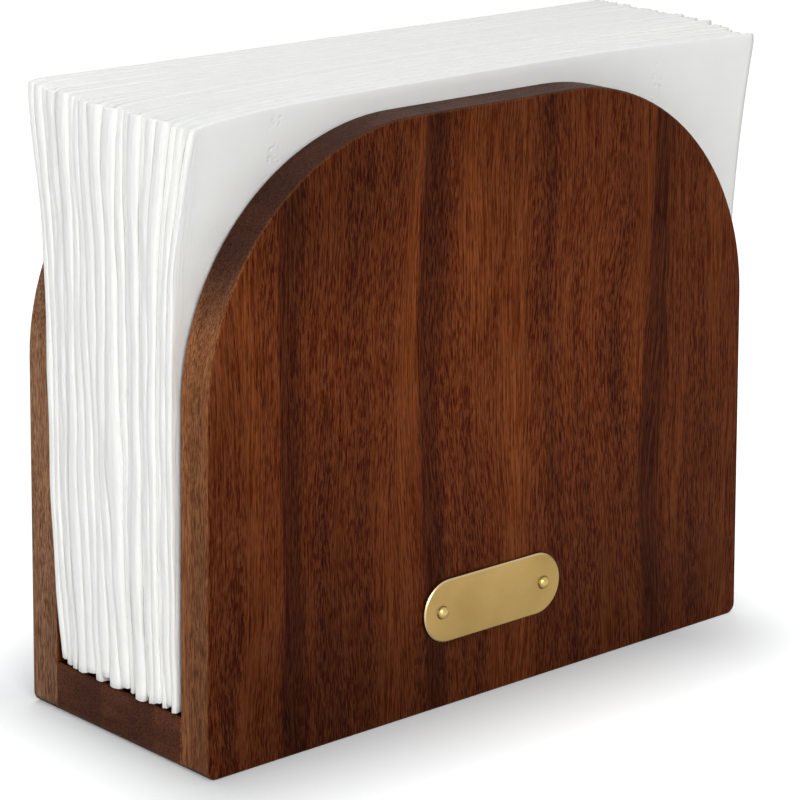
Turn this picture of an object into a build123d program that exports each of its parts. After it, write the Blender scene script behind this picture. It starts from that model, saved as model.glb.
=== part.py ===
from build123d import *

import math
import os

# Upright napkin holder: two equal arched boards stand on edge, one each side of a base board,
# and hold a pack of folded paper napkins. A bare brass plate is pinned to the front board.
# Millimetres. X runs along the boards, the front board faces -Y and +Z is up.
# The origin is on the underside, in the middle of the base board.

# Arched boards
panel_width = 160.0             # across the sides, where the arch starts
panel_height = 136.0
panel_thickness = 9.5
arch_radius = 57.0
side_flare = 1.5                # how much wider each side is at the table than at the arch
foot_corner_radius = 2.5
edge_easing = 0.6               # rounding of every sharp edge of a board

# Base board, which fills the foot of the slot between the boards
slot_depth = 44.5
base_thickness = 12.0

# Blind dowels that join the base board to each arched board
dowel_diameter = 6.0
dowel_count = 3                 # for each arched board
dowel_spacing = 52.0
dowel_in_panel = 6.0
dowel_in_base = 13.0
glue_gap = 0.1                  # round a dowel
dowel_end_gap = 0.5             # left at each end of a dowel's hole

# Brass plate and its two pins
plate_length = 41.5
plate_height = 14.6
plate_thickness = 1.0
plate_bevel = 0.3
plate_centre_height = 23.0
pin_spacing = 31.0
pin_head_diameter = 3.2
pin_head_height = 1.1
pin_shank_diameter = 1.4
pin_tip_length = 1.5
pin_depth = 7.0                 # of the shank's end below the plate's back
pin_hole_clearance = 0.1        # all round the shank

# Folded napkins, standing side by side on the base board
napkin_count = 20
napkin_width = 167.0
napkin_height = 128.5
napkin_gap = 0.15               # between two napkins
fold_radius = 0.9               # of the folded top edge
pack_offset = 3.5               # the pack sits this far to the right of the boards' middle
pack_seat_gap = 0.3             # above the base board
pack_clearance = 0.4            # to each arched board, at the top of the pack
pack_taper = 1.4                # how much further in each face of the pack is at its foot

# Worked out from the sizes above
inner_face = slot_depth / 2
outer_face = inner_face + panel_thickness
dowel_positions = [(i - (dowel_count - 1) / 2) * dowel_spacing for i in range(dowel_count)]
pin_positions = [-pin_spacing / 2, pin_spacing / 2]


def arch_face():
    """Outline of an arched board: flared sides, a quarter-round at each shoulder, a flat top."""
    centre_x = panel_width / 2 - arch_radius
    centre_z = panel_height - arch_radius
    foot_x = panel_width / 2 + side_flare
    # Each side is a straight line from the foot that meets its shoulder's arc at a tangent.
    foot_distance = math.hypot(foot_x - centre_x, centre_z)
    foot_angle = math.degrees(math.atan2(-centre_z, foot_x - centre_x))
    tangent_angle = foot_angle + math.degrees(math.acos(arch_radius / foot_distance))
    right_arc = CenterArc((centre_x, centre_z), arch_radius, tangent_angle, 90 - tangent_angle)
    left_arc = CenterArc((-centre_x, centre_z), arch_radius, 90, 90 - tangent_angle)
    outline = [
        Line((-foot_x, 0), (foot_x, 0)),
        Line((foot_x, 0), right_arc @ 0),
        right_arc,
        Line(right_arc @ 1, left_arc @ 0),
        left_arc,
        Line(left_arc @ 1, (-foot_x, 0)),
    ]
    face = make_face(outline)
    return fillet(face.vertices().sort_by(Axis.Y)[:2], foot_corner_radius)


def board_from_arch(front_y, back_y):
    """A board with the arch's outline, from one depth to another."""
    return extrude(Plane.XZ.offset(-back_y) * arch_face(), amount=back_y - front_y)


def dowel_rod(x, diameter, start_y, end_y):
    """A round rod along Y at the height of the base board's middle."""
    place = Location((x, (start_y + end_y) / 2, base_thickness / 2))
    return place * Cylinder(diameter / 2, abs(end_y - start_y), rotation=(90, 0, 0))


def dowel_holes(side):
    """The holes of one arched board's dowels, through its joint with the base: side is -1 or 1."""
    panel_end = side * (inner_face + dowel_in_panel)
    base_end = side * (inner_face - dowel_in_base)
    return [dowel_rod(x, dowel_diameter + 2 * glue_gap, panel_end, base_end)
            for x in dowel_positions]


def dowels(side):
    panel_end = side * (inner_face + dowel_in_panel - dowel_end_gap)
    base_end = side * (inner_face - dowel_in_base + dowel_end_gap)
    return [dowel_rod(x, dowel_diameter, panel_end, base_end) for x in dowel_positions]


def arched_panel(side):
    """One arched board, eased all round both faces and drilled for its dowels."""
    near, far = sorted([side * inner_face, side * outer_face])
    panel = board_from_arch(near, far)
    broad_faces = panel.faces().sort_by(Axis.Y)
    panel = fillet(broad_faces[0].edges() + broad_faces[-1].edges(), edge_easing)
    return panel - dowel_holes(side)


def pin_hole(x, depth):
    """A pilot hole for a pin, from in front of the plate to a depth behind the plate's back."""
    length = plate_thickness + depth
    place = Location((x, -outer_face + depth - length / 2, plate_centre_height))
    radius = pin_shank_diameter / 2 + pin_hole_clearance
    return place * Cylinder(radius, length, rotation=(90, 0, 0))


def front_panel():
    return arched_panel(-1) - [pin_hole(x, pin_depth + pin_hole_clearance) for x in pin_positions]


def back_panel():
    return arched_panel(1)


def base_board():
    """The boards' own foot outline, cut off at the base's thickness, so that its ends are flush."""
    slab = Location((0, 0, base_thickness / 2))
    slab = slab * Box(2 * panel_width, slot_depth, base_thickness)
    board = board_from_arch(-inner_face, inner_face) & slab
    top_edges = board.faces().sort_by(Axis.Z)[-1].edges().filter_by(Axis.Y)
    board = fillet(top_edges, edge_easing)
    return board - dowel_holes(-1) - dowel_holes(1)


def name_plate():
    """A bare plate with round ends, bevelled round its outer face."""
    back = Plane.XZ.offset(outer_face) * Location((0, plate_centre_height))
    plate = extrude(back * SlotOverall(plate_length, plate_height), amount=plate_thickness)
    plate = chamfer(plate.faces().sort_by(Axis.Y)[0].edges(), plate_bevel)
    return plate - [pin_hole(x, pin_hole_clearance) for x in pin_positions]


def plate_pin(x):
    """A dome-headed pin whose head bears on the plate and whose shank ends in the front board."""
    head_radius = pin_head_diameter / 2
    shank_radius = pin_shank_diameter / 2
    shank_length = plate_thickness + pin_depth
    dome_radius = (head_radius**2 + pin_head_height**2) / (2 * pin_head_height)
    half_arc = math.asin(head_radius / dome_radius) / 2
    dome_middle = (dome_radius * math.sin(half_arc),
                   pin_head_height - dome_radius * (1 - math.cos(half_arc)))
    profile = [
        Line((0, pin_head_height), (0, -shank_length)),
        Line((0, -shank_length), (shank_radius, -shank_length + pin_tip_length)),
        Line((shank_radius, -shank_length + pin_tip_length), (shank_radius, 0)),
        Line((shank_radius, 0), (head_radius, 0)),
        ThreePointArc((head_radius, 0), dome_middle, (0, pin_head_height)),
    ]
    pin = revolve(make_face(profile), axis=Axis.Y)
    seat = Location((x, -outer_face - plate_thickness, plate_centre_height), (180, 0, 0))
    return seat * pin


def napkin(index):
    """One folded napkin of the pack, number index from the front, with its fold on top."""
    foot_z = base_thickness + pack_seat_gap
    top_z = foot_z + napkin_height
    top_half = inner_face - pack_clearance
    foot_half = top_half - pack_taper

    def depth_at(half, share):
        return -half + 2 * half * share

    front_share = index / napkin_count
    back_share = (index + 1) / napkin_count
    corners = [
        (depth_at(foot_half, front_share) + napkin_gap / 2, foot_z),
        (depth_at(foot_half, back_share) - napkin_gap / 2, foot_z),
        (depth_at(top_half, back_share) - napkin_gap / 2, top_z),
        (depth_at(top_half, front_share) + napkin_gap / 2, top_z),
    ]
    section = make_face(Polyline(*corners, close=True))
    top_corners = section.vertices().sort_by(Axis.Y)[-2:]
    top_thickness = 2 * top_half / napkin_count - napkin_gap
    section = fillet(top_corners, min(fold_radius, 0.45 * top_thickness))
    left_end = Plane.YZ.offset(pack_offset - napkin_width / 2)
    return extrude(left_end * section, amount=napkin_width)


pieces = {
    "front_panel": front_panel(),
    "back_panel": back_panel(),
    "base_board": base_board(),
    "front_dowels": Compound(dowels(-1)),
    "back_dowels": Compound(dowels(1)),
    "name_plate": name_plate(),
    "plate_pins": Compound([plate_pin(x) for x in pin_positions]),
}
for number in range(napkin_count):
    pieces[f"napkin_{number + 1:02d}"] = napkin(number)

os.makedirs("parts", exist_ok=True)
for node_name, piece in pieces.items():
    export_step(piece, f"parts/{node_name}.step")
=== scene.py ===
# %% [markdown]
# # An upright napkin holder
#
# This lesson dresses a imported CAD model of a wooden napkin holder. Two arched boards stand on edge, one on
# each side of a base board. A bare brass plate is pinned to the front board, and a pack of folded paper
# napkins fills the slot.
#
# The boards, the plate and its pins keep their CAD shapes and only get finishes here. The napkins are plain
# slabs in the CAD model, so each one is built again as a real folded sheet.
#
# Everything is in metres: X runs along the boards, the front faces -Y, and +Z is up.

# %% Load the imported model
import math

import bpy
import numpy as np
from mathutils import Matrix, Vector


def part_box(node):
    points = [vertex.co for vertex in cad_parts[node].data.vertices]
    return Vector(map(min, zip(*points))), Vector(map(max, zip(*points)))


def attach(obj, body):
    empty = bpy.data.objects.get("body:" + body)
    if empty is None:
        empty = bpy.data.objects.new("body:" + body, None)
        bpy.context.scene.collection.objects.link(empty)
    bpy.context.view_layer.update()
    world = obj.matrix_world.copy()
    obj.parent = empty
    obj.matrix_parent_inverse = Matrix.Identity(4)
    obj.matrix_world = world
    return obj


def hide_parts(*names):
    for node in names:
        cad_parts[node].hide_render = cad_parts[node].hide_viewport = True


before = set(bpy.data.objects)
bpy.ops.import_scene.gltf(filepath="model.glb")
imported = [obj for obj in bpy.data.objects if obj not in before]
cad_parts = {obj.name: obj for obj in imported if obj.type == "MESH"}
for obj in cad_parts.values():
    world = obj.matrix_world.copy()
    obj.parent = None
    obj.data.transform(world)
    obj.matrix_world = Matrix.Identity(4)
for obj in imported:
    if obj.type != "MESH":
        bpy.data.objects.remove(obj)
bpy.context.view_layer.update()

print("CAD nodes:", len(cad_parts))

# %% [markdown]
# ## Camera
#
# The camera stands to the left and a little above, far away with a long lens, as a product photographer
# would place it. A long lens keeps the boards' edges nearly parallel. The three turns are easier to read as
# one product of matrices than as Euler angles: first roll, then pitch, then yaw.

# %% Place the camera
CAMERA_PLACE = (-0.47742, -0.54030, 0.26987)
CAMERA_YAW = 0.7244            # from +Y towards +X, in radians
CAMERA_PITCH = 0.2805          # downwards
CAMERA_ROLL = 0.002
LENS = 147.29                  # mm
SENSOR_WIDTH = 36.0            # mm

camera_data = bpy.data.cameras.new("camera")
camera_data.lens = LENS
camera_data.sensor_width = SENSOR_WIDTH
camera_data.clip_start = 0.05
camera_data.clip_end = 50.0
camera = bpy.data.objects.new("camera", camera_data)
bpy.context.scene.collection.objects.link(camera)
camera.matrix_world = (Matrix.Translation(CAMERA_PLACE)
                       @ Matrix.Rotation(-CAMERA_YAW, 4, "Z")
                       @ Matrix.Rotation(math.pi / 2 - CAMERA_PITCH, 4, "X")
                       @ Matrix.Rotation(CAMERA_ROLL, 4, "Z"))
bpy.context.scene.camera = camera
bpy.context.scene.view_settings.view_transform = "Standard"
print("Camera at", [round(v, 3) for v in camera.location])

# %% [markdown]
# ## A short way to write shader nodes
#
# Materials in Blender are graphs of nodes. A few small helpers keep the graphs readable as text: `put` adds a
# node, sets its options and fills its sockets with values or with the outputs of other nodes. The others are
# built on it: each adds one kind of node and returns its result.

# %% Define the node helpers
def put(tree, kind, sockets=None, **options):
    """Add a node with its options, then fill its sockets, each by its name or its number."""
    node = tree.nodes.new(kind)
    for name, value in options.items():
        setattr(node, name, value)
    for key, value in (sockets or {}).items():
        if isinstance(value, bpy.types.NodeSocket):
            tree.links.new(value, node.inputs[key])
        else:
            node.inputs[key].default_value = value
    return node


def maths(tree, operation, *values, clamp=False):
    sockets = dict(enumerate(values))
    return put(tree, "ShaderNodeMath", sockets, operation=operation, use_clamp=clamp).outputs[0]


def vector_maths(tree, operation, *vectors):
    return put(tree, "ShaderNodeVectorMath", dict(enumerate(vectors)), operation=operation).outputs[0]


def ramp(tree, value, low, high, to_low=0.0, to_high=1.0):
    """A smooth step: the value's span from low to high becomes to_low to to_high."""
    sockets = {"Value": value, "From Min": low, "From Max": high, "To Min": to_low, "To Max": to_high}
    return put(tree, "ShaderNodeMapRange", sockets, interpolation_type="SMOOTHSTEP").outputs[0]


def noise(tree, vector, scale, detail, roughness=0.5):
    """Soft noise around 0.5, in spots about 1 / scale metres wide."""
    sockets = {"Vector": vector, "Scale": scale, "Detail": detail, "Roughness": roughness}
    return put(tree, "ShaderNodeTexNoise", sockets).outputs[0]


def stretch(tree, vector, x, y, z):
    """Scale a vector's three parts, so that a round pattern becomes a long one."""
    return put(tree, "ShaderNodeMapping", {"Vector": vector, "Scale": (x, y, z)}).outputs[0]


def split(tree, vector):
    return put(tree, "ShaderNodeSeparateXYZ", {0: vector}).outputs


def join(tree, x, y, z):
    return put(tree, "ShaderNodeCombineXYZ", {0: x, 1: y, 2: z}).outputs[0]


def blend_values(tree, factor, first, second):
    return put(tree, "ShaderNodeMix", {0: factor, 2: first, 3: second}).outputs[0]


def blend_colours(tree, factor, first, second, mode="MIX"):
    sockets = {0: factor, 6: first, 7: second}
    return put(tree, "ShaderNodeMix", sockets, data_type="RGBA", blend_type=mode).outputs[2]


print("Node helpers ready")

# %% [markdown]
# ## Groups and materials
#
# An effect that several materials share is a node group, with named sockets for what each material chooses.
# `shader_group` makes one and `place_group` puts it in a material.

# %% Define the group and material helpers
def shader_group(name, inputs, outputs):
    """A node group with named sockets. Returns the group, what comes in and what goes out."""
    group = bpy.data.node_groups.new(name, "ShaderNodeTree")
    for socket_name, (kind, value) in inputs.items():
        socket = group.interface.new_socket(socket_name, in_out="INPUT", socket_type="NodeSocket" + kind)
        if value is not None:
            socket.default_value = value
    for socket_name, kind in outputs.items():
        group.interface.new_socket(socket_name, in_out="OUTPUT", socket_type="NodeSocket" + kind)
    entry = group.nodes.new("NodeGroupInput")
    leave = group.nodes.new("NodeGroupOutput")
    return group, entry.outputs, leave.inputs


def place_group(tree, group, sockets):
    """Put a node group in a material, with this material's own values."""
    node = tree.nodes.new("ShaderNodeGroup")
    node.node_tree = group
    for name, value in sockets.items():
        if isinstance(value, bpy.types.NodeSocket):
            tree.links.new(value, node.inputs[name])
        else:
            node.inputs[name].default_value = value
    return node


def new_material(name):
    """An empty node material, its tree and its Principled shader."""
    material = bpy.data.materials.new(name)
    material.use_nodes = True
    tree = material.node_tree
    return material, tree, tree.nodes["Principled BSDF"]


def add_bump(tree, principled, height, strength, depth):
    bump = put(tree, "ShaderNodeBump", {"Strength": strength, "Distance": depth, "Height": height})
    tree.links.new(bump.outputs[0], principled.inputs["Normal"])


print("Group and material helpers ready")

# %% [markdown]
# ## Floor, background and light
#
# The studio is plain: a pale floor that runs out to a white background, and three soft lights. One hangs
# overhead and a little behind, and draws the shadow close round the holder's foot. A broad one stands low on
# the left, and a smaller one in front lights the front board. Their level is set so that a colour renders
# about as it is written.
#
# The floor has to look white to the camera and still hold the holder's soft shadow. Light Path tells camera
# rays from the rest, so the floor gets a white glow that never reaches the holder as light. Mirror rays see
# it too, so the brass shows the same white floor. The glow is weak beside the holder, where the shadow lies,
# and grows over the first few centimetres, so the dim patch round the holder is a painted shadow laid over
# the real one.

# %% Lay the floor
FLOOR_HALF = 6.0

floor_mesh = bpy.data.meshes.new("floor")
floor_corners = [(-FLOOR_HALF, -FLOOR_HALF, 0), (FLOOR_HALF, -FLOOR_HALF, 0),
                 (FLOOR_HALF, FLOOR_HALF, 0), (-FLOOR_HALF, FLOOR_HALF, 0)]
floor_mesh.from_pydata(floor_corners, [], [(0, 1, 2, 3)])
floor = bpy.data.objects.new("floor", floor_mesh)
bpy.context.scene.collection.objects.link(floor)
print("Floor", 2 * FLOOR_HALF, "m wide")

# %% Paint the floor
WHITE = (1, 1, 1, 1)
FLOOR_COLOUR = (0.74, 0.74, 0.74, 1)
SEEN_FLOOR_COLOUR = (0.835, 0.86, 0.87, 1)       # a little cool, because the boards' own light is warm
FLOOR_GLOW = 0.60              # what the camera sees added to the floor, away from the holder
GLOW_BESIDE = 0.09             # and right beside the holder, where the weaker glow paints a shadow
GLOW_MIDDLE = (-0.0100, 0, 0)  # of the dim patch of painted shadow, which ends sooner on the right, where the shadow is faint
GLOW_HALF_SIZE = (0.0680, 0.032, 0)
GLOW_REACH = 0.045             # how far from the dim patch the glow is full


def seen_directly(tree):
    """1 for rays from the camera and for mirror and glass rays, which should see the same background."""
    light_path = put(tree, "ShaderNodeLightPath").outputs
    seen = maths(tree, "MAXIMUM", light_path["Is Camera Ray"], light_path["Is Glossy Ray"])
    return maths(tree, "MAXIMUM", seen, light_path["Is Transmission Ray"])


floor_paint, tree, principled = new_material("floor_paint")
principled.inputs["Base Color"].default_value = FLOOR_COLOUR
principled.inputs["Roughness"].default_value = 0.9
principled.inputs["Specular IOR Level"].default_value = 0.0
seen_paint = put(tree, "ShaderNodeBsdfDiffuse", {"Color": SEEN_FLOOR_COLOUR})
floor_place = put(tree, "ShaderNodeTexCoord").outputs["Object"]
# The dim patch round the holder: a painted shadow over the real one
outwards = vector_maths(tree, "ABSOLUTE", vector_maths(tree, "SUBTRACT", floor_place, GLOW_MIDDLE))
outwards = vector_maths(tree, "SUBTRACT", outwards, GLOW_HALF_SIZE)
outwards = vector_maths(tree, "MAXIMUM", outwards, (0, 0, 0))
clear_of_patch = put(tree, "ShaderNodeVectorMath", {0: outwards}, operation="LENGTH").outputs["Value"]
glow_share = maths(tree, "DIVIDE", clear_of_patch, GLOW_REACH, clamp=True)
glow_level = maths(tree, "MULTIPLY_ADD", glow_share, FLOOR_GLOW - GLOW_BESIDE, GLOW_BESIDE)
glow = put(tree, "ShaderNodeEmission", {"Color": WHITE, "Strength": glow_level})
seen_floor = put(tree, "ShaderNodeAddShader", {0: seen_paint.outputs[0], 1: glow.outputs[0]})
floor_mix = put(tree, "ShaderNodeMixShader", {0: seen_directly(tree), 1: principled.outputs[0],
                                              2: seen_floor.outputs[0]})
tree.links.new(floor_mix.outputs[0], tree.nodes["Material Output"].inputs["Surface"])
floor_mesh.materials.append(floor_paint)
print("The floor glows from", GLOW_BESIDE, "beside the holder to", FLOOR_GLOW)

# %% Light the background
SKY_LEVEL = 0.32               # light from all round

world = bpy.data.worlds.new("studio")
bpy.context.scene.world = world
world.use_nodes = True
sky = world.node_tree
level = ramp(sky, seen_directly(sky), 0.0, 1.0, SKY_LEVEL, 1.0)
background = sky.nodes["Background"]
background.inputs["Color"].default_value = WHITE
sky.links.new(level, background.inputs["Strength"])
print("Sky level", SKY_LEVEL)

# %% Hang the soft lights
HOLDER_MIDDLE = (0, 0, 0.07)


def soft_light(name, place, size, power):
    """A square area light that faces the middle of the holder."""
    light_data = bpy.data.lights.new(name, "AREA")
    light_data.shape = "SQUARE"
    light_data.size = size
    light_data.energy = power
    light = bpy.data.objects.new(name, light_data)
    bpy.context.scene.collection.objects.link(light)
    light.location = place
    direction = Vector(HOLDER_MIDDLE) - Vector(place)
    light.rotation_euler = direction.to_track_quat("-Z", "Y").to_euler()


soft_light("overhead_light", place=(0.10, 0.26, 1.6), size=0.5, power=5.6)
soft_light("left_light", place=(-1.6, -0.05, 0.42), size=1.1, power=7.9)
soft_light("front_light", place=(-0.60, -1.10, 0.60), size=0.6, power=10.7)

# %% [markdown]
# ## Wood figure
#
# The boards are a stained tropical hardwood. Its figure has four scales: broad dark and light ribbons a
# centimetre or two wide, a few dark streaks with one sharp side, fibres, and open pores that show as dark
# dashes. The fibres are short and speckled in the dark ribbons, and longer and straighter in the light ones.
# The grain is interlocked: in one ribbon the dashes lean left and in the next they lean right.
#
# The pattern is made in three dimensions and stretched along the grain, so it runs over every edge of a
# board as real wood does. It is a node group, because the stained wood and the pale dowels share it.

# %% Start the wood figure group with its ribbons
WANDER = 0.0026                # how far the grain strays to either side on its way along a board

wood_figure, given, result = shader_group(
    "wood_figure",
    {"Place": ("Vector", None), "Seed": ("Float", 0.0), "Streaks": ("Vector", (0, 0, 0)),
     "Streak Widths": ("Vector", (0.01, 0.01, 0.01)), "Pore Density": ("Float", 0.6)},
    {"Figure": "Float", "Fibre": "Float", "Pores": "Float", "Height": "Float", "Tone": "Float"})

seeded = vector_maths(wood_figure, "ADD", given["Place"], join(wood_figure, 0.0, given["Seed"], 0.0))
across = split(wood_figure, given["Place"])[0]
along = split(wood_figure, given["Place"])[2]
seeded_depth = split(wood_figure, seeded)[1]
wander_noise = noise(wood_figure, stretch(wood_figure, seeded, 1, 1, 0.5), 24.0, 1.5)
wandered = maths(wood_figure, "ADD", across, ramp(wood_figure, wander_noise, 0.2, 0.8, -WANDER, WANDER))

ribbon_place = join(wood_figure, wandered, seeded_depth, along)
ribbons = noise(wood_figure, stretch(wood_figure, ribbon_place, 1, 2.6, 0.07), 95.0, 3.0, 0.60)
figure = ramp(wood_figure, ribbons, 0.13, 0.87)

# Slow changes of tone over several centimetres
tone_noise = noise(wood_figure, stretch(wood_figure, seeded, 1, 1, 0.6), 22.0, 1.0)
wood_figure.links.new(ramp(wood_figure, tone_noise, 0.25, 0.75), result["Tone"])
print("Inputs of wood_figure:", [socket.name for socket in given if socket.name])

# %% [markdown]
# Each board has three streaks, at places and of widths that its material chooses. A streak starts sharply,
# is darkest there, fades out over its width, and comes and goes along the grain.

# %% Add the dark streaks
STREAK_START = (-0.0022, 0.0004)       # the sharp side
STREAK_CORE = (0.0025, 0.0070)         # where the darkest part fades
CORE_FADE = 0.50
STREAK_REMAINS = 0.08                  # what is left of the figure in the darkest part

streak_places = split(wood_figure, given["Streaks"])
streak_widths = split(wood_figure, given["Streak Widths"])
patchy_noise = noise(wood_figure, stretch(wood_figure, seeded, 1, 1, 0.4), 45.0, 2.0)
patchy = ramp(wood_figure, patchy_noise, 0.30, 0.60, 0.70, 1.0)
for streak_place, streak_width in zip(streak_places, streak_widths):
    distance = maths(wood_figure, "SUBTRACT", wandered, streak_place)
    sharp_side = ramp(wood_figure, distance, *STREAK_START)
    core = ramp(wood_figure, distance, *STREAK_CORE, 1.0, CORE_FADE)
    share = maths(wood_figure, "DIVIDE", distance, streak_width)
    soft_side = ramp(wood_figure, share, 0.4, 1.0, 1.0, 0.0)
    dark = maths(wood_figure, "MULTIPLY", sharp_side, maths(wood_figure, "MULTIPLY", core, soft_side))
    dark = maths(wood_figure, "MULTIPLY", dark, patchy)
    remains = ramp(wood_figure, dark, 0.0, 1.0, 1.0, STREAK_REMAINS)
    figure = maths(wood_figure, "MULTIPLY", figure, remains)
print("Streaks on each board:", len(streak_places))

# %% [markdown]
# Fibres and pores are made twice, leaning left and leaning right, and a soft noise chooses between the two.
# A pore is a dark spindle in a long Voronoi cell, and only some of the cells are filled.

# %% Add the fibres and pores
GRAIN_LEAN = 0.030             # how far a dash moves sideways for each unit along the grain
SHORT_FIBRE = {"drawn_out": 0.11, "scale": 3300.0, "light": 0.59}
LONG_FIBRE = {"drawn_out": 0.022, "scale": 2300.0, "light": 0.57}
PORE_SIZES = ((0.00050, 0.0034, 0.26),           # cell width, cell length, filled share
              (0.00070, 0.0140, 0.21))

straight = ramp(wood_figure, ribbons, 0.42, 0.60, 0.20, 0.70)


def fibres(grain_place, drawn_out, scale, light):
    """Noise that is drawn out along the grain."""
    place = stretch(wood_figure, grain_place, 1, 1, drawn_out)
    return ramp(wood_figure, noise(wood_figure, place, scale, 2.0, 0.65), 0.41, light)


def pores_of_size(grain_place, cell_width, cell_length, filled_share):
    place = stretch(wood_figure, grain_place, 1 / cell_width, 1 / cell_width, 1 / cell_length)
    cells = put(wood_figure, "ShaderNodeTexVoronoi", {"Vector": place, "Scale": 1.0, "Randomness": 1.0},
                voronoi_dimensions="3D").outputs
    spindle = ramp(wood_figure, cells["Distance"], filled_share * 0.55, filled_share * 1.6, 1.0, 0.0)
    chances = put(wood_figure, "ShaderNodeSeparateColor", {0: cells["Color"]}).outputs
    filled = maths(wood_figure, "LESS_THAN", chances[0], given["Pore Density"])
    strength = maths(wood_figure, "MULTIPLY", filled, ramp(wood_figure, chances[1], 0, 1, 0.4, 1))
    return maths(wood_figure, "MULTIPLY", spindle, strength)


def leaning_grain(lean):
    """Fibres and pores whose dashes all lean the same way."""
    leaned = maths(wood_figure, "ADD", wandered, maths(wood_figure, "MULTIPLY", along, lean))
    grain_place = join(wood_figure, leaned, seeded_depth, along)
    fibre = blend_values(wood_figure, straight, fibres(grain_place, **SHORT_FIBRE),
                         fibres(grain_place, **LONG_FIBRE))
    small, large = [pores_of_size(grain_place, *size) for size in PORE_SIZES]
    return fibre, maths(wood_figure, "MAXIMUM", small, large)


lean_noise = noise(wood_figure, stretch(wood_figure, ribbon_place, 1, 1, 0.06), 130.0, 0.0)
leans_right = ramp(wood_figure, lean_noise, 0.46, 0.54)
left_fibre, left_pores = leaning_grain(GRAIN_LEAN)
right_fibre, right_pores = leaning_grain(-GRAIN_LEAN)
fibre = blend_values(wood_figure, leans_right, left_fibre, right_fibre)
pores = blend_values(wood_figure, leans_right, left_pores, right_pores)
height = maths(wood_figure, "SUBTRACT", maths(wood_figure, "MULTIPLY", fibre, 0.25), pores)
for name, value in (("Figure", figure), ("Fibre", fibre), ("Pores", pores), ("Height", height)):
    wood_figure.links.new(value, result[name])
print("wood_figure has", len(wood_figure.nodes), "nodes")

# %% [markdown]
# ## Which side of a board
#
# A board's broad face, its long edge and its end grain take stain differently: the long edge is paler and
# browner, and end grain drinks the stain and goes dark. The direction of the surface says which side it is.
# On a rounded edge the normal turns from one side to another, so the same numbers also give a mask of the
# rounded edges, where hands rub the finish thin and a painted highlight stands for the edge catching light.
# The brass plate's bevel uses that mask too, and the mask of what is turned away from the front says where
# brass is darkened, partly by tarnish and partly by painted shade.

# %% Make the side masks group
surface_side, given, result = shader_group(
    "surface_side", {"Normal": ("Vector", None)},
    {"Long Edge": "Float", "End Grain": "Float", "Rounded Edge": "Float", "Turned Away": "Float"})
facing = [maths(surface_side, "ABSOLUTE", part) for part in split(surface_side, given["Normal"])]
masks = {
    "Long Edge": ramp(surface_side, facing[0], 0.70, 0.97),
    "End Grain": ramp(surface_side, facing[2], 0.15, 0.60),
    "Rounded Edge": maths(surface_side, "MULTIPLY", ramp(surface_side, facing[1], 0.05, 0.5),
                          ramp(surface_side, facing[1], 0.75, 0.98, 1.0, 0.0)),
    "Turned Away": ramp(surface_side, facing[1], 0.38, 0.78, 1.0, 0.0),
}
for name, mask in masks.items():
    surface_side.links.new(mask, result[name])
print("surface_side has", len(surface_side.nodes), "nodes")

# %% [markdown]
# ## Stained hardwood
#
# The stain is a deep red-brown. Light and dark fibres are added to the figure's colour and taken from it, and
# count for less in the dark streaks; the light fibres also carry a painted sheen. The long edges and the end
# grain have tints of their own, and the end grain's tint is made greyer as a painted sheen. The colour is
# darker at a board's foot as painted shade, darker at its very top, and darkest on the floor of the slot, as
# painted shade.

# %% Choose the stain
WOOD_DARK = (0.045, 0.0080, 0.0013, 1)
WOOD_MIDDLE = (0.099, 0.0203, 0.0038, 1)
WOOD_LIGHT = (0.147, 0.0352, 0.0072, 1)
LIGHT_FIBRE_AND_SHEEN = (0.062, 0.0232, 0.0110)              # what the lightest fibres add to the colour: lighter grain and a painted sheen
SHADED_FIBRE = (0.052, 0.0185, 0.0085)           # what the darkest ones take from it
STREAK_CONTRAST = 0.55                           # the fibres' contrast in the darkest streaks
DARKEST_WOOD = (0.010, 0.0016, 0.0003)
PORE_STAIN = (0.021, 0.0026, 0.0004, 1)
LONG_EDGE_TINT = (0.254, 0.096, 0.035, 1)
PALE_EDGE_TINT = (0.325, 0.160, 0.080, 1)
# End grain colour, made greyer as a painted sheen on the top and arch edges
END_GRAIN_AND_SHEEN_TINT = (0.058, 0.0225, 0.0122, 1)
BASE_END_TINT = (0.066, 0.0225, 0.0110, 1)
EDGE_SHADED_FIBRE = (0.62, 0.49, 0.40, 1)        # on the edges, fibres multiply the tint
# the light fibres on the edges: lighter grain and a painted sheen
EDGE_LIGHT_FIBRE_AND_SHEEN = (1.38, 1.58, 1.80, 1)
print("Stain from", WOOD_DARK[:3], "to", WOOD_LIGHT[:3])


# %% Colour a board's faces
def scale_colour(tree, colour, factor):
    return put(tree, "ShaderNodeVectorMath", {0: colour, "Scale": factor}, operation="SCALE").outputs[0]


def broad_face_colour(tree, wood, tone):
    """The colour of a board's broad face: its figure, then light and dark fibres."""
    figure, fibre = wood.outputs["Figure"], wood.outputs["Fibre"]
    lower = blend_colours(tree, ramp(tree, figure, 0.0, 0.5), WOOD_DARK, WOOD_MIDDLE)
    colour = blend_colours(tree, ramp(tree, figure, 0.45, 1.0), lower, WOOD_LIGHT)
    contrast = ramp(tree, figure, 0.0, 0.5, STREAK_CONTRAST, 1.0)
    lit = maths(tree, "MULTIPLY", contrast, fibre)
    shaded = maths(tree, "MULTIPLY", contrast, maths(tree, "SUBTRACT", 1.0, fibre))
    # Light fibres add lighter grain and a painted sheen
    colour = vector_maths(tree, "ADD", colour, scale_colour(tree, LIGHT_FIBRE_AND_SHEEN, lit))
    colour = vector_maths(tree, "SUBTRACT", colour, scale_colour(tree, SHADED_FIBRE, shaded))
    return vector_maths(tree, "MAXIMUM", scale_colour(tree, colour, tone), DARKEST_WOOD)


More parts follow.
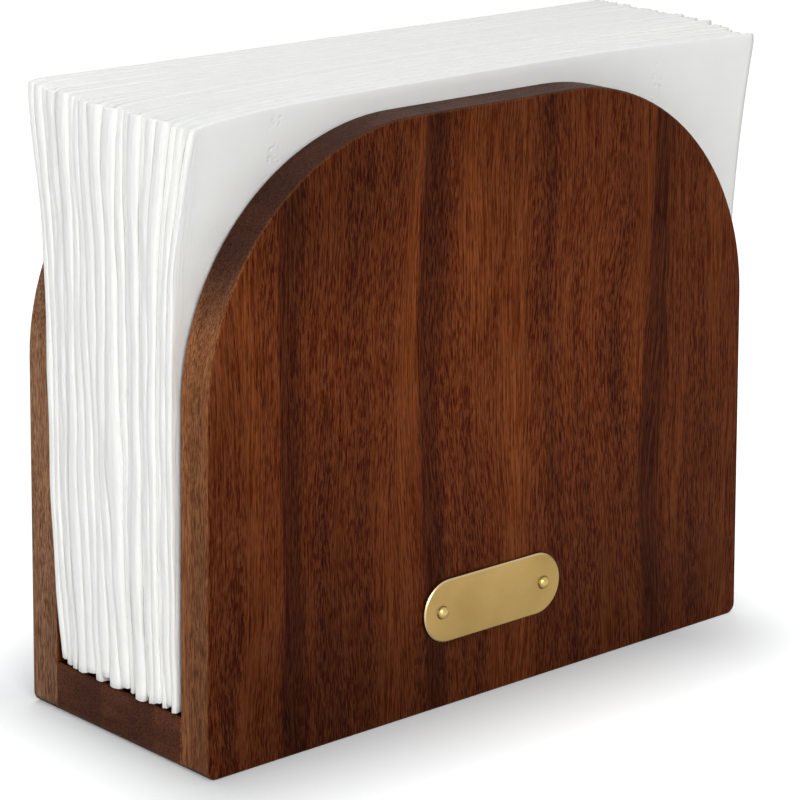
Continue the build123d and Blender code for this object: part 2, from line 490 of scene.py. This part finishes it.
def narrow_face_colour(tree, wood, side, edge_tint, end_tint, tone):
    """The colour of a board's long edges and of its end grain."""
    colour = blend_colours(tree, side.outputs["End Grain"], edge_tint, end_tint)
    figure_tone = ramp(tree, wood.outputs["Figure"], 0.2, 0.8, 0.82, 1.18)
    colour = scale_colour(tree, colour, maths(tree, "MULTIPLY", figure_tone, tone))
    fibre_colour = blend_colours(tree, wood.outputs["Fibre"], EDGE_SHADED_FIBRE, EDGE_LIGHT_FIBRE_AND_SHEEN)
    return blend_colours(tree, 1.0, colour, fibre_colour, mode="MULTIPLY")


print("Face colours ready")

# %% [markdown]
# One function makes the stained wood for each board, because the boards are cut from different places of
# the plank: the seed and the dark streaks differ, and the base board lies down instead of standing up.
# The Principled shader's specular level is low, since the finish is a thin oil, not a varnish. It is the
# same all over, so it is set on the shader's own socket.

# %% Make the stained wood
TONE_RANGE = (0.87, 1.13)
FOOT_SHADE = 0.66              # painted shade near the floor: the colour at a board's foot, as a share of the colour higher up
FOOT_SHADE_HEIGHT = 0.075             # m up the board, where the painted shade at the foot ends
TOP_SHADE = 0.80               # and at the very top the colour is darker, this share of it
TOP_DARKENING_SPAN = (0.098, 0.134)     # m up the board, where the darker top begins and where it is full
SLOT_SHADE = 0.12              # painted shade on the floor of the slot: the colour of the base board's broad faces, as a share
PORE_SHARE = (0.8, 0.6)        # how dark pores are on broad faces and on narrow ones
RUBBED_EDGE_HIGHLIGHT = 0.12                  # how pale a rounded edge is made: rubbed finish, and a painted highlight where it catches the light
PORE_DENSITY = 0.8
PORE_DEPTH = 0.00012


def lay_down(tree, vector):
    """Turn a vector so that the board lies flat: its length to Z, its width to X and its thickness to Y."""
    parts = split(tree, vector)
    return join(tree, parts[1], parts[2], parts[0])


def stained_wood(name, seed, streaks, streak_widths, edge_tint=LONG_EDGE_TINT, end_tint=END_GRAIN_AND_SHEEN_TINT,
                 upright=True):
    material, tree, principled = new_material(name)
    coordinates = put(tree, "ShaderNodeTexCoord")
    place, normal = coordinates.outputs["Object"], coordinates.outputs["Normal"]
    if not upright:
        place, normal = lay_down(tree, place), lay_down(tree, normal)
    wood = place_group(tree, wood_figure, {"Place": place, "Seed": seed, "Streaks": streaks,
                                           "Streak Widths": streak_widths, "Pore Density": PORE_DENSITY})
    side = place_group(tree, surface_side, {"Normal": normal})
    narrow = maths(tree, "ADD", maths(tree, "MULTIPLY", side.outputs["Long Edge"], 0.75),
                   maths(tree, "MULTIPLY", side.outputs["End Grain"], 0.85), clamp=True)

    tone = ramp(tree, wood.outputs["Tone"], 0.0, 1.0, *TONE_RANGE)
    if upright:
        board_height = split(tree, place)[2]
        # Painted shade: an upright board's colour darkens towards its foot, and its very top is darker too
        shade = maths(tree, "MULTIPLY", ramp(tree, board_height, 0.0, FOOT_SHADE_HEIGHT, FOOT_SHADE, 1.0),
                      ramp(tree, board_height, *TOP_DARKENING_SPAN, 1.0, TOP_SHADE))
    else:
        # Painted shade: the base board's broad faces, the floor of the slot, are darkened
        shade = ramp(tree, narrow, 0.0, 0.5, SLOT_SHADE, 1.0)
    tone = maths(tree, "MULTIPLY", tone, shade)
    colour = blend_colours(tree, narrow, broad_face_colour(tree, wood, tone),
                           narrow_face_colour(tree, wood, side, edge_tint, end_tint, tone))
    pore_share = maths(tree, "MULTIPLY", wood.outputs["Pores"], ramp(tree, narrow, 0.0, 1.0, *PORE_SHARE))
    colour = blend_colours(tree, pore_share, colour, PORE_STAIN)
    # Rounded edges are paled: rubbed finish and a painted highlight
    rubbed_highlight = maths(tree, "MULTIPLY", side.outputs["Rounded Edge"], RUBBED_EDGE_HIGHLIGHT if upright else 0.0)
    colour = blend_colours(tree, rubbed_highlight, colour, LONG_EDGE_TINT)
    tree.links.new(colour, principled.inputs["Base Color"])

    rough = ramp(tree, wood.outputs["Fibre"], 0.0, 1.0, 0.36, 0.50)
    rough = maths(tree, "ADD", rough, maths(tree, "MULTIPLY", wood.outputs["Pores"], 0.3), clamp=True)
    tree.links.new(rough, principled.inputs["Roughness"])
    principled.inputs["Specular IOR Level"].default_value = 0.03
    add_bump(tree, principled, wood.outputs["Height"], 0.6, PORE_DEPTH)
    return material


print("Stained wood ready")


# %% Finish the three boards
def finish_node(node_name, material):
    """Give a CAD node a finish through its object's material slots."""
    for material_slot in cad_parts[node_name].material_slots:
        material_slot.material = material
    print(node_name, "is finished in", material.name)


finish_node("front_panel", stained_wood("stained_wood_front", seed=0.10, streaks=(-0.0605, -0.0192, 0.0485),
                                        streak_widths=(0.036, 0.010, 0.012)))
finish_node("back_panel", stained_wood("stained_wood_back", seed=0.31, streaks=(-0.034, 0.022, 0.049),
                                       streak_widths=(0.020, 0.012, 0.030), edge_tint=PALE_EDGE_TINT))
finish_node("base_board", stained_wood("stained_wood_base", seed=0.73, streaks=(-0.012, 0.005, 0.090),
                                       streak_widths=(0.012, 0.015, 0.015), end_tint=BASE_END_TINT,
                                       upright=False))

# %% [markdown]
# ## Dowels
#
# The dowels are hidden in the joints. They are unstained hardwood rod with its grain along Y, so the same
# wood figure is turned to that axis and given pale colours, few pores and no streaks.

# %% Make the dowel wood
DOWEL_DARK = (0.42, 0.25, 0.12, 1)
DOWEL_LIGHT = (0.60, 0.40, 0.22, 1)
DOWEL_PORE = (0.24, 0.13, 0.06, 1)
NO_STREAKS = (1, 1, 1)         # a metre away

dowel_wood, tree, principled = new_material("dowel_wood")
place_parts = split(tree, put(tree, "ShaderNodeTexCoord").outputs["Object"])
turned = join(tree, place_parts[0], place_parts[2], place_parts[1])
wood = place_group(tree, wood_figure, {"Place": turned, "Seed": 1.1, "Streaks": NO_STREAKS,
                                       "Pore Density": 0.25})
colour = blend_colours(tree, wood.outputs["Figure"], DOWEL_DARK, DOWEL_LIGHT)
colour = blend_colours(tree, wood.outputs["Pores"], colour, DOWEL_PORE)
tree.links.new(colour, principled.inputs["Base Color"])
tree.links.new(ramp(tree, wood.outputs["Fibre"], 0, 1, 0.55, 0.7), principled.inputs["Roughness"])
add_bump(tree, principled, wood.outputs["Height"], 0.5, 0.0001)
finish_node("front_dowels", dowel_wood)
finish_node("back_dowels", dowel_wood)

# %% [markdown]
# ## Brass
#
# The plate is satin brass sheet: a belt has left very fine lines along its length, and the lacquer has dulled
# in soft clouds. Its bevel was cut after the brushing and is paler. The pins have no lines; they are
# polished and pick up fine scuffs. Both are darkened where they turn away from the front, partly by tarnish
# and partly by painted shade on the plate's side walls and round the pins' rims. One group makes the lines
# and the clouds, and each metal chooses how much of them it takes.

# %% Make the metal marks group
metal_marks, given, result = shader_group(
    "metal_marks",
    {"Place": ("Vector", None), "Line Length": ("Float", 0.02), "Line Width": ("Float", 0.00012)},
    {"Lines": "Float", "Clouds": "Float"})
per_length = maths(metal_marks, "DIVIDE", 1.0, given["Line Length"])
per_width = maths(metal_marks, "DIVIDE", 1.0, given["Line Width"])
lines_scale = join(metal_marks, per_length, per_width, per_width)
lines_place = vector_maths(metal_marks, "MULTIPLY", given["Place"], lines_scale)
metal_marks.links.new(noise(metal_marks, lines_place, 1.0, 2.0), result["Lines"])
clouds = noise(metal_marks, given["Place"], 50.0, 4.0, 0.55)
metal_marks.links.new(ramp(metal_marks, clouds, 0.25, 0.75), result["Clouds"])
print("metal_marks has", len(metal_marks.nodes), "nodes")

# %% Make both brasses
# Dark brass: partly tarnish, partly painted shade
TARNISH_AND_SHADE = (0.14, 0.078, 0.023, 1)
CUT_BRASS = (0.56, 0.42, 0.25, 1)


def brass(name, dull, bright, rim_share, rough, line_length, line_width, line_depth):
    material, tree, principled = new_material(name)
    coordinates = put(tree, "ShaderNodeTexCoord")
    marks = place_group(tree, metal_marks, {"Place": coordinates.outputs["Object"],
                                            "Line Length": line_length, "Line Width": line_width})
    side = place_group(tree, surface_side, {"Normal": coordinates.outputs["Normal"]})
    colour = blend_colours(tree, marks.outputs["Clouds"], dull, bright)
    # Painted shade, with some tarnish, where the brass turns away from the front
    colour = blend_colours(tree, side.outputs["Turned Away"], colour, TARNISH_AND_SHADE)
    rim = maths(tree, "MULTIPLY", side.outputs["Rounded Edge"], rim_share)
    colour = blend_colours(tree, rim, colour, CUT_BRASS)
    tree.links.new(colour, principled.inputs["Base Color"])
    principled.inputs["Metallic"].default_value = 1.0
    tree.links.new(ramp(tree, marks.outputs["Lines"], 0.2, 0.8, *rough), principled.inputs["Roughness"])
    add_bump(tree, principled, marks.outputs["Lines"], 0.5, line_depth)
    return material


finish_node("name_plate", brass("brushed_brass", dull=(0.320, 0.210, 0.066, 1),
                                bright=(0.426, 0.287, 0.102, 1), rim_share=1.0, rough=(0.30, 0.46),
                                line_length=0.009, line_width=0.00011, line_depth=0.00001))
finish_node("plate_pins", brass("polished_brass", dull=(0.46, 0.33, 0.105, 1),
                                bright=(0.60, 0.44, 0.16, 1), rim_share=0.0, rough=(0.22, 0.34),
                                line_length=0.0006, line_width=0.0006, line_depth=0.000006))

# %% [markdown]
# ## Tissue paper
#
# The napkins are soft white tissue. It is matt, a little light passes through it, and it shows a fine
# fibrous tooth. Two bands of small embossed dots run down each leaf, about an inch in from its sides, worn
# faint in places and pressed flat at the top fold. Where the sheet was folded over itself it is creased along
# the fold. Dots and creases follow the sheet, so they use its UV map, which each napkin's mesh gets below, in
# metres of flat paper.

# %% Make the tissue paper
NAPKIN_WIDTH = 0.167           # folded
NAPKIN_HEIGHT = 0.1285
PAPER_SHADED = (0.875, 0.88, 0.845, 1)
PAPER_LIT = (0.92, 0.925, 0.89, 1)

napkin_tissue, tree, principled = new_material("napkin_tissue")
coordinates = put(tree, "ShaderNodeTexCoord")
place, flat_place = coordinates.outputs["Object"], coordinates.outputs["UV"]
mottle = noise(tree, place, 160.0, 2.0)
tree.links.new(blend_colours(tree, mottle, PAPER_SHADED, PAPER_LIT), principled.inputs["Base Color"])
tree.links.new(ramp(tree, mottle, 0.2, 0.8, 0.82, 0.95), principled.inputs["Roughness"])
principled.inputs["Specular IOR Level"].default_value = 0.2
principled.inputs["Subsurface Weight"].default_value = 0.5
principled.inputs["Subsurface Radius"].default_value = (1, 1, 1)
principled.inputs["Subsurface Scale"].default_value = 0.0008
print("Tissue colours from", PAPER_SHADED[:3], "to", PAPER_LIT[:3])

# %% Emboss and crease it
EMBOSS_INSET = 0.0262          # from a leaf's sides
EMBOSS_BAND = (0.0009, 0.0024) # from a band's middle: where its dots start to fade, and where they end
TOP_FOLD = (0.0010, 0.0030)    # from the top fold: where the dots begin, and where they are full
SIDE_FOLD = (0.0012, 0.0060)   # from the left fold: where the creases start to fade, and where they end
TOOTH_HEIGHT = 0.2             # this and the next two are in RELIEF_DEPTHs
DOT_HEIGHT = -1.3
CREASE_HEIGHT = 2.8
RELIEF_DEPTH = 0.00025

flat_across, flat_up = split(tree, flat_place)[0], split(tree, flat_place)[1]
from_side = maths(tree, "PINGPONG", flat_across, NAPKIN_WIDTH / 2)
from_band = maths(tree, "ABSOLUTE", maths(tree, "SUBTRACT", from_side, EMBOSS_INSET))
from_top = maths(tree, "ABSOLUTE", maths(tree, "SUBTRACT", flat_up, NAPKIN_HEIGHT))
from_fold = maths(tree, "ABSOLUTE", maths(tree, "SUBTRACT", flat_across, NAPKIN_WIDTH))

dots = put(tree, "ShaderNodeTexVoronoi", {"Vector": flat_place, "Scale": 680.0, "Randomness": 0.8},
           voronoi_dimensions="2D")
dot = ramp(tree, dots.outputs["Distance"], 0.1, 0.45, 1.0, 0.0)
dot = maths(tree, "MULTIPLY", dot, ramp(tree, from_band, *EMBOSS_BAND, 1.0, 0.0))
dot = maths(tree, "MULTIPLY", dot, ramp(tree, noise(tree, flat_place, 210.0, 1.0), 0.30, 0.55))
dot = maths(tree, "MULTIPLY", dot, ramp(tree, from_top, *TOP_FOLD))
creases = noise(tree, stretch(tree, flat_place, 1, 0.05, 1), 1500.0, 2.0)
creases = maths(tree, "MULTIPLY", creases, ramp(tree, from_fold, *SIDE_FOLD, 1.0, 0.0))
tooth = noise(tree, place, 1400.0, 3.0, 0.65)

relief = maths(tree, "ADD", maths(tree, "MULTIPLY", tooth, TOOTH_HEIGHT),
               maths(tree, "MULTIPLY", dot, DOT_HEIGHT))
relief = maths(tree, "ADD", relief, maths(tree, "MULTIPLY", creases, CREASE_HEIGHT))
add_bump(tree, principled, relief, 0.5, RELIEF_DEPTH)
print("napkin_tissue has", len(tree.nodes), "nodes")

# %% [markdown]
# ## How the pack fills the slot
#
# Eighty leaves of tissue lie between the boards, four to a napkin. To keep leaves from cutting through each
# other, none of them is placed by itself. Instead the depth of the slot at each point is shared out: every
# leaf takes its thickness, and the gaps between leaves share what is left, by weights that change along the
# pack and up it. So leaves may cling together or part, but never cross.
#
# At the left end each napkin is folded over itself. Some of these folds puff up and stand out, and squeeze
# the ones between them, and the widths drift on the way up, so the ridges lean and bend. At the right end the
# leaves are free. Above the arch nothing holds the pack, so its upper corners spread to the front and to the
# back.

# %% Choose how wide each fold puffs up
rng = np.random.default_rng(7)
NAPKINS = 20
LEAVES = 4 * NAPKINS
LEAF = 0.00025                 # thickness of one leaf, with its embossing
FOLD_REACH = 0.0017            # how far the left folds stand out beyond the plain slabs

pack_low, pack_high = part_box("napkin_01")[0].copy(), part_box(f"napkin_{NAPKINS:02d}")[1].copy()
pack_left, pack_foot = pack_low.x - FOLD_REACH, pack_low.z
pack_right, pack_top = pack_high.x, pack_high.z

stands_out = rng.random(NAPKINS) < 0.55
puff = np.where(stands_out, rng.uniform(1.0, 2.0, NAPKINS), rng.uniform(0.15, 0.6, NAPKINS))
puff_period = rng.uniform(0.050, 0.140, NAPKINS)
puff_phase = rng.uniform(0, 2 * math.pi, NAPKINS)
print("Napkins that stand out:", [int(n) + 1 for n in np.flatnonzero(stands_out)])

# %% Choose the gaps between leaves
gap_number = np.arange(LEAVES + 1)
between_napkins = gap_number % 4 == 0
in_loop = gap_number % 2 == 1      # a gap that the fold on top closes
gap_middle = np.where(in_loop, rng.uniform(0.55, 0.80, LEAVES + 1), rng.uniform(0.10, 0.40, LEAVES + 1))
gap_fold = np.where(between_napkins, rng.uniform(0.02, 0.12, LEAVES + 1), rng.uniform(0.8, 1.2, LEAVES + 1))
gap_free = np.where(between_napkins, rng.uniform(0.2, 2.2, LEAVES + 1), rng.uniform(0.1, 0.9, LEAVES + 1))
gap_napkin = np.minimum(gap_number // 4, NAPKINS - 1)
gap_middle[[0, -1]] = gap_fold[[0, -1]] = gap_free[[0, -1]] = 0.05
print("Gaps between leaves:", len(gap_number))


# %% Shape the pack's front and back
FRONT_FACE = -0.0213           # Y where the boards hold the pack
BACK_FACE = 0.0219
BACK_FOOT = 0.0205
ARCH_CENTRE = (0.023, 0.079)   # of the shoulders' arcs, to either side of the middle
HELD_RADIUS = 0.060            # the boards hold the pack flat this far from those centres
SPREAD_REACH = 0.024           # and this much further out its corners have spread fully
SPREAD_START = 0.045           # the spread begins this high and is free a little above
SPREAD_RISE = 0.050
SPREAD = {"left_front": 0.0034, "left_back": 0.0026, "right_front": 0.0032, "right_back": 0.0020}
HINGE = 0.0555                 # the corners bend forward at the embossed bands, this far from the middle
HINGE_STEP = 0.0009


def smooth(value):
    value = np.clip(value, 0.0, 1.0)
    return value * value * (3 - 2 * value)


def fade(distance, reach):
    """1 at an edge, falling away from it."""
    return np.exp(-np.clip(distance, 0, None) / reach)


def pack_faces(x, z):
    """The pack's front and back surfaces: Y at each point."""
    out = np.hypot(np.maximum(np.abs(x) - ARCH_CENTRE[0], 0), np.maximum(z - ARCH_CENTRE[1], 0))
    share = np.clip((out - HELD_RADIUS) / SPREAD_REACH, 0, None) ** 1.5
    share = share * smooth((z - SPREAD_START) / SPREAD_RISE)
    to_right = smooth(x / 0.04 + 0.5)
    front = SPREAD["left_front"] + (SPREAD["right_front"] - SPREAD["left_front"]) * to_right
    back = SPREAD["left_back"] + (SPREAD["right_back"] - SPREAD["left_back"]) * to_right
    back_plane = BACK_FOOT + (BACK_FACE - BACK_FOOT) * smooth((z - pack_foot) / 0.04)
    bent = HINGE_STEP * smooth((np.abs(x) - HINGE) / 0.005) * smooth((out - 0.0575) / 0.003)
    return FRONT_FACE - bent - front * share, back_plane + back * share


print("Depth of the pack's foot:", round(BACK_FOOT - FRONT_FACE, 4), "m")

# %% Share out the depth of the slot
FOLD_ZONE = 0.013              # how far in from the left end the leaves lie as the folds do
FREE_ZONE = 0.012              # and from the right end, as the free edges do
FREE_DRIFT = 0.6               # the free edges drift less than the folds
PUFF_SWING = 0.2               # how much a fold's puff changes on the way up
# Waves of width that drift up the pack: how many over its depth, how strong, how tall, and where they start
DRIFTS = [(2, 0.32, 0.320, 0.4), (3, 0.32, -0.240, 2.1), (5, 0.25, 0.170, 4.0), (8, 0.18, -0.110, 5.2),
          (11, 0.11, 0.034, 1.0), (14, 0.10, -0.022, 2.7)]


def leaf_depths(x, z):
    """The Y of every leaf's middle at each point: one row for each leaf, from front to back."""
    front, back = pack_faces(x, z)
    near_fold = fade(x - pack_left, FOLD_ZONE)
    near_free = fade(pack_right - x, FREE_ZONE)
    swing = np.sin(2 * math.pi * z / puff_period[:, None] + puff_phase[:, None])
    puff_here = (puff[:, None] * (1 + PUFF_SWING * swing))[gap_napkin]
    puff_here[between_napkins] = 1.0
    drift = sum(strength * np.sin(2 * math.pi * (count * gap_number[:, None] / LEAVES + z / height) + start)
                for count, strength, height, start in DRIFTS)
    weights = (gap_middle[:, None] * (1 - near_fold) * (1 - near_free)
               + gap_fold[:, None] * puff_here * np.exp(drift) * near_fold
               + gap_free[:, None] * np.exp(FREE_DRIFT * drift) * near_free)
    slack = (back - front) - LEAVES * LEAF
    gaps = weights / weights.sum(axis=0) * slack
    return front + np.cumsum(gaps, axis=0)[:LEAVES] + LEAF * (np.arange(LEAVES)[:, None] + 0.5)


test_x, test_z = np.full(9, pack_left), np.linspace(pack_foot, pack_top, 9)
widths = np.diff(leaf_depths(test_x, test_z)[::4], axis=0) * 1000
print("Napkin widths at the left end, mm:", widths.min().round(2), "to", widths.max().round(2))

# %% [markdown]
# ## Small differences between the napkins
#
# A real pack is never square. The folds that puff up also stand further out to the left, and each napkin's
# corners are rounded off a little differently. Its leaves are folded about a millimetre out of line. The feet
# are jagged, a low napkin and then a raised one, which leaves dark notches above the base board. The
# frontmost napkins curl inward at their upper left corner.

# %% Choose where each napkin stands
leaf_shift = rng.uniform(-0.0007, 0.0007, (NAPKINS, 4))
leaf_lift = rng.uniform(0.0, 0.0004, (NAPKINS, 4))
fold_shift = np.where(stands_out, rng.uniform(-0.0003, 0.0, NAPKINS), rng.uniform(0.0001, 0.0005, NAPKINS))
free_shift = rng.uniform(-0.0011, 0.0003, NAPKINS)
napkin_skew = rng.uniform(-0.004, 0.004, NAPKINS)
napkin_lift = np.where(np.arange(NAPKINS) % 2 == 0, rng.uniform(0.0, 0.0003, NAPKINS),
                       rng.uniform(0.0008, 0.0020, NAPKINS))
foot_rounding = rng.uniform(0.0002, 0.0007, NAPKINS)
top_rounding = rng.uniform(0.0001, 0.0009, NAPKINS)
wave_period = rng.uniform(0.020, 0.070, (NAPKINS, 2))
wave_phase = rng.uniform(0, 2 * math.pi, (NAPKINS, 2))
print("Feet raised by up to", napkin_lift.max().round(4), "m")

# %% Choose how high each napkin's ends are
CREST_LEFT = 0.1402            # of the front napkin, and how much higher the back one is
CREST_LEFT_RISE = 0.0029
CREST_RIGHT = 0.1406
CREST_RIGHT_RISE = 0.0018

from_front = np.arange(NAPKINS)
from_back = from_front[::-1]
across_pack = np.linspace(0, 1, NAPKINS)
group_step = np.repeat(rng.uniform(-0.0002, 0.0002, 5), 4)
crest_left = (CREST_LEFT + CREST_LEFT_RISE * across_pack + group_step
              + rng.uniform(-0.00012, 0.00012, NAPKINS))
crest_right = (CREST_RIGHT + CREST_RIGHT_RISE * smooth(across_pack / 0.5 + 0.1) + group_step
               + rng.uniform(-0.00015, 0.00015, NAPKINS))
print("Tops from", crest_left.min().round(4), "to", crest_right.max().round(4), "m")

# %% Draw the line of each left fold
WAVE_HEIGHTS = (0.00014, 0.00008)
FRONT_CURL = 0.0037            # how far the front napkin's upper corner curls in
CURL_START = 0.102             # how high the curl begins, and over what height it grows
CURL_RISE = 0.040
BACK_TUCK = 0.0012             # how far the back napkin's foot is tucked in
TUCK_RISE = 0.014
FOLD_LEAN = 0.0003             # how far the back folds lean out, and how much further at the top
TOP_LEAN = 0.0011
LEAN_START = 0.105
LEAN_RISE = 0.035

front_curl = FRONT_CURL * np.exp(-from_front / 2.2)
back_tuck = BACK_TUCK * np.exp(-from_back / 2.0)


def fold_line(number, z):
    """Where the left fold of a napkin stands: its X at each height."""
    waves = np.sin(2 * math.pi * z[:, None] / wave_period[number] + wave_phase[number]) @ WAVE_HEIGHTS
    curl = front_curl[number] * smooth((z - CURL_START) / CURL_RISE)
    tuck = back_tuck[number] * fade(z - pack_foot, TUCK_RISE)
    lean = across_pack[number] * (FOLD_LEAN + TOP_LEAN * smooth((z - LEAN_START) / LEAN_RISE))
    return pack_left + fold_shift[number] + waves + curl + tuck - lean


print("The front napkin curls in by", front_curl[0], "m")

# %% [markdown]
# ## Folding a napkin
#
# Each napkin is one flat sheet, folded twice. The first fold brings its upper and lower halves together and
# lies on top of the pack. The second brings its left and right halves together and lies at the left end. So
# the four leaves are, from the front: outer, inner, inner, outer, and their free edges show at the right end
# and below.
#
# A point of the flat sheet is given by `u`, from 0 at the right free edge to 1 at the left fold and back to
# 0, and by `v`, from 0 at the foot of an outer leaf to 1 at the top fold and back to 0. Both folds turn
# through half a circle. Their sines and cosines say which leaf the point is on and how far the fold stands
# out.

# %% Set out the stations on a sheet
COLUMNS = 20                   # along one leaf
ROWS = 46                      # up one leaf
FOLD_STEPS = 8                 # over each fold
CROWD_ACROSS = 0.90            # how closely the stations crowd towards both ends of a leaf
CROWD_UP = 0.35


def fold_samples(count, crowding):
    """Stations along one leaf, over the fold and back: how far along the leaf, and the fold's angle."""
    share = np.linspace(0, 1, count)
    share = share - crowding * np.sin(2 * math.pi * share) / (2 * math.pi)       # closer near both ends
    angles = np.linspace(0, math.pi, FOLD_STEPS + 2)[1:-1]
    along = np.concatenate([share, np.ones(FOLD_STEPS), share[::-1]])
    turn = np.concatenate([np.zeros(count), angles, np.full(count, math.pi)])
    return along, turn


def flat_position(along, turn, length, fold_length):
    """How far along the flat sheet a station is."""
    position = np.where(turn > math.pi / 2, 2 - along, along) * length
    return position + (turn / math.pi - 0.5) * fold_length


print("One napkin has", (2 * COLUMNS + FOLD_STEPS) * (2 * ROWS + FOLD_STEPS), "points")

# %% Fold the sheet
FOLD_HEIGHT = 0.00035          # of the rounded fold on top, on average
FOLD_BULGE = 0.50              # how far a left fold stands out, for its half width
FOLD_FLATNESS = 0.55           # 1 is a half circle, 0 a square end
FREE_LEAN = 0.034              # the free edges lean out towards the top
CREST_BOW = 0.0018             # 4 times how far the top bows up between its ends
SKEW_HEIGHT = 0.076            # where a skewed napkin is in place
LEFT_FOLD_PAPER = 0.003        # the length of flat paper in each fold
TOP_FOLD_PAPER = 0.001


def napkin_points(number):
    """The folded sheet's grid of points, and the same points on the flat sheet for its UV map."""
    along_u, turn_u = fold_samples(COLUMNS, CROWD_ACROSS)
    along_v, turn_v = fold_samples(ROWS, CROWD_UP)
    u, turn_side = np.repeat(along_u, len(along_v)), np.repeat(turn_u, len(along_v))
    v, turn_top = np.tile(along_v, len(along_u)), np.tile(turn_v, len(along_u))
    inner = (1 - np.cos(turn_top)) / 2                      # 0 on the outer leaves, 1 on the inner ones
    front = np.cos(turn_side)                               # 1 on the front leaves, -1 on the back ones
    leaf = 1.5 - front * (1.5 - inner)                      # 0 to 3, from front to back

    from_fold = (1 - u) * NAPKIN_WIDTH
    foot = (pack_foot + napkin_lift[number] + np.interp(leaf, range(4), leaf_lift[number])
            + foot_rounding[number] * fade(from_fold, 0.0025))
    crest = crest_right[number] + (crest_left[number] - crest_right[number]) * u + CREST_BOW * u * (1 - u)
    crest = crest - top_rounding[number] * fade(from_fold, 0.0015)
    crest = crest - 0.3 * front_curl[number] * fade(from_fold, 0.006)
    z = foot + v * (crest - FOLD_HEIGHT - foot)
    # The upper corners are rounded off a little.
    left = fold_line(number, z) + 0.0005 * fade(crest - z, 0.0020)
    right = (pack_right + free_shift[number] + np.interp(leaf, range(4), leaf_shift[number])
             - FREE_LEAN * (pack_top - z) - 0.0007 * fade(crest - z, 0.0009))
    x = right + u * (left - right) + napkin_skew[number] * (z - SKEW_HEIGHT)

    depths = leaf_depths(x, z)
    half_width = (depths[4 * number + 3] - depths[4 * number]) / 2
    whole = 4 * number + leaf
    lower = np.clip(np.floor(whole).astype(int), 0, LEAVES - 2)
    points = np.arange(len(x))
    y = depths[lower, points] + (whole - lower) * (depths[lower + 1, points] - depths[lower, points])
    x = x - FOLD_BULGE * half_width * (1.5 - inner) / 1.5 * np.abs(np.sin(turn_side)) ** FOLD_FLATNESS
    z = z + half_width / 3 * np.sin(turn_top)
    flat = np.stack([flat_position(u, turn_side, NAPKIN_WIDTH, LEFT_FOLD_PAPER),
                     flat_position(v, turn_top, NAPKIN_HEIGHT, TOP_FOLD_PAPER)], axis=1)
    return np.stack([x, y, z], axis=1), flat, (len(along_u), len(along_v))


print("The front napkin's points:", napkin_points(0)[0].shape)

# %% [markdown]
# ## Building the napkins
#
# Each grid of points becomes a mesh of one layer, and a Solidify modifier gives it a leaf's thickness. The
# napkin then takes the place of its CAD slab and rides on the pack, so it lifts out with it.

# %% Build the napkins
def build_napkin(number):
    """One napkin: a grid of points as its mesh, thickened to a leaf's thickness."""
    points, flat, shape = napkin_points(number)
    corner = np.arange(shape[0] * shape[1]).reshape(shape)
    faces = np.stack([corner[:-1, :-1], corner[1:, :-1], corner[1:, 1:], corner[:-1, 1:]], axis=-1)
    name = f"napkin_{number + 1:02d}"
    mesh = bpy.data.meshes.new(name + "_paper")
    mesh.from_pydata(points.tolist(), [], faces.reshape(-1, 4).tolist())
    uv_layer = mesh.uv_layers.new(name="flat_sheet")
    loops = np.zeros(len(mesh.loops), dtype=np.int32)
    mesh.loops.foreach_get("vertex_index", loops)
    uv_layer.data.foreach_set("uv", flat[loops].astype(np.float32).ravel())
    mesh.shade_smooth()
    mesh.materials.append(napkin_tissue)
    napkin = bpy.data.objects.new(name + "_paper", mesh)
    bpy.context.scene.collection.objects.link(napkin)
    thickness = napkin.modifiers.new("leaf_thickness", "SOLIDIFY")
    thickness.thickness = LEAF
    thickness.offset = 0.0
    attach(napkin, "napkin_pack")
    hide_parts(name)
    return napkin


napkins = [build_napkin(number) for number in range(NAPKINS)]
print("Built", len(napkins), "napkins of", len(napkins[0].data.polygons), "faces")
